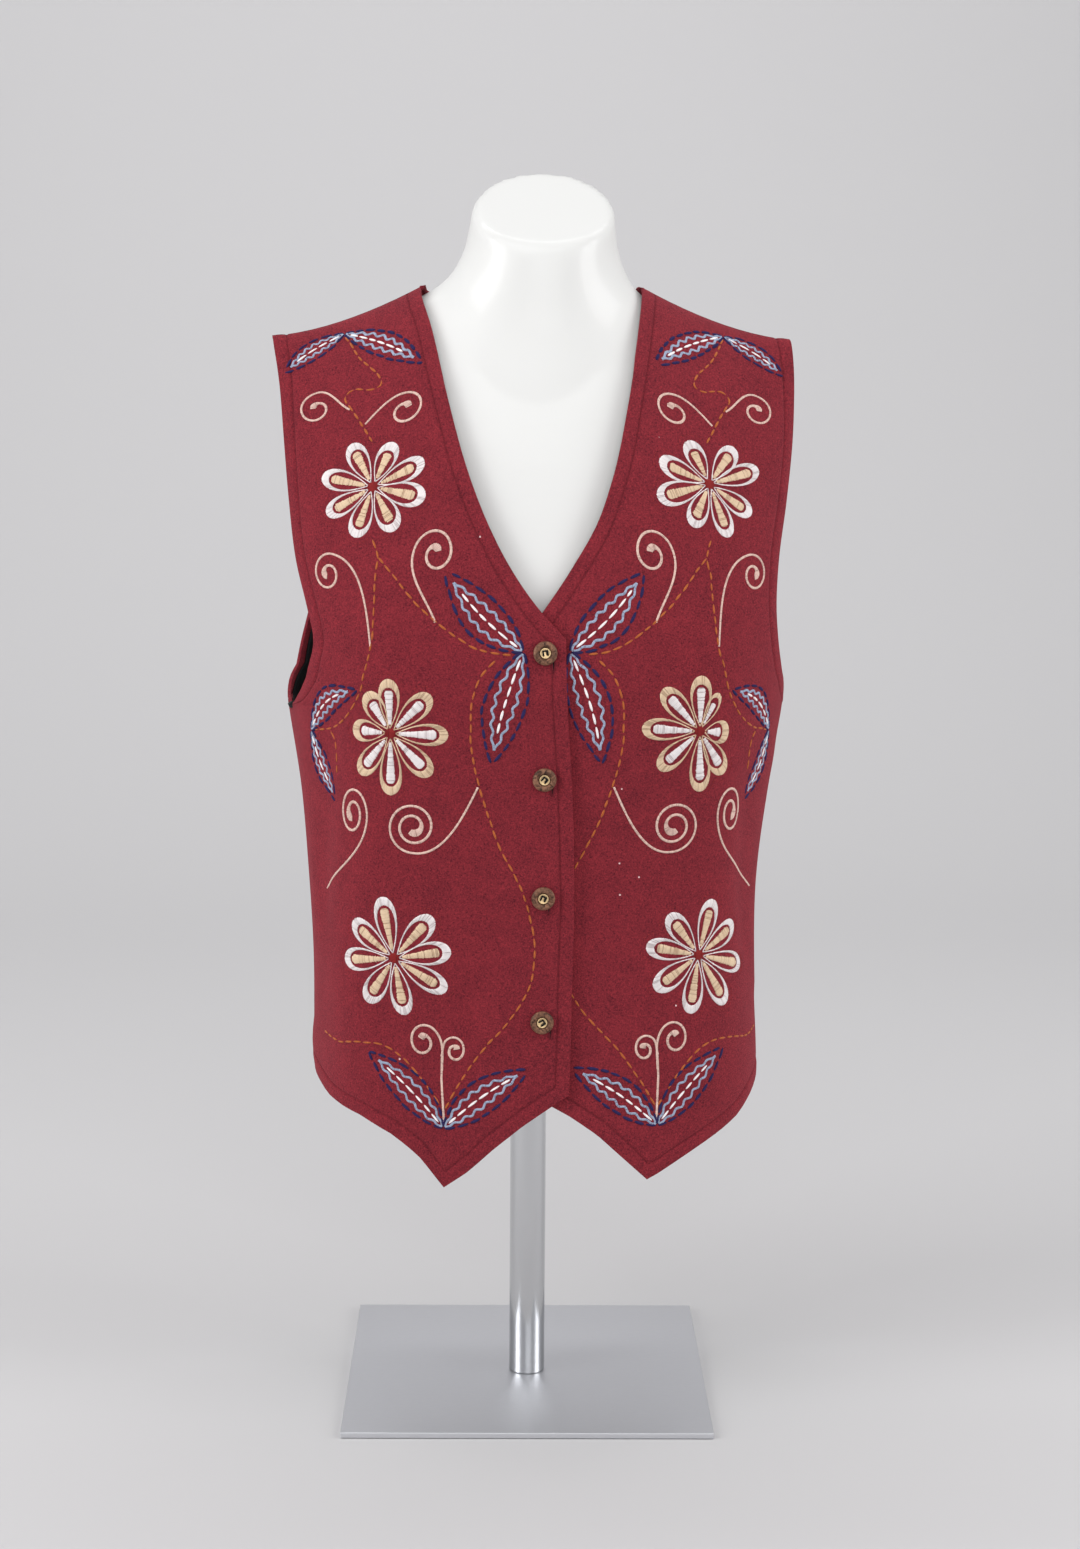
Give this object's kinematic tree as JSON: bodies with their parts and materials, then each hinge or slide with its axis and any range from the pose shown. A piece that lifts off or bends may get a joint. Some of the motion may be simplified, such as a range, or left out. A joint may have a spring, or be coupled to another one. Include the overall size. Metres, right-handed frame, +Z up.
{
  "type": "embellished vest on a dress form",
  "caption": "Sleeveless woollen vest with V neck, pointed fronts and hand-embroidered flowers, buttoned on a limbless white dress form with a steel pole and square plate",
  "frame": {"origin": "centre of the whole part's box, on the floor under the plate", "axes": "+Z up through the neck, -Y the way the front looks, +X the wearer's left"},
  "size_m": [0.3566, 0.2668, 0.8543],
  "materials": {
    "wool": "matt napped wool flannel, burgundy",
    "lining": "plain black lining cloth",
    "horn": "polished brown horn look",
    "brass": "satin",
    "gloss_white": "glossy white moulded shell",
    "steel": "brushed"
  },
  "bodies": {
    "root": {"back": "wool", "base_plate": "steel", "button_1": "horn", "button_2": "horn", "button_3": "horn", "button_4": "horn", "button_middle_1": "brass", "button_middle_2": "brass", "button_middle_3": "brass", "button_middle_4": "brass", "dress_form": "gloss_white", "front_left": "wool", "front_right": "wool", "lining_back": "lining", "pole": "steel"}
  },
  "joints": []
}
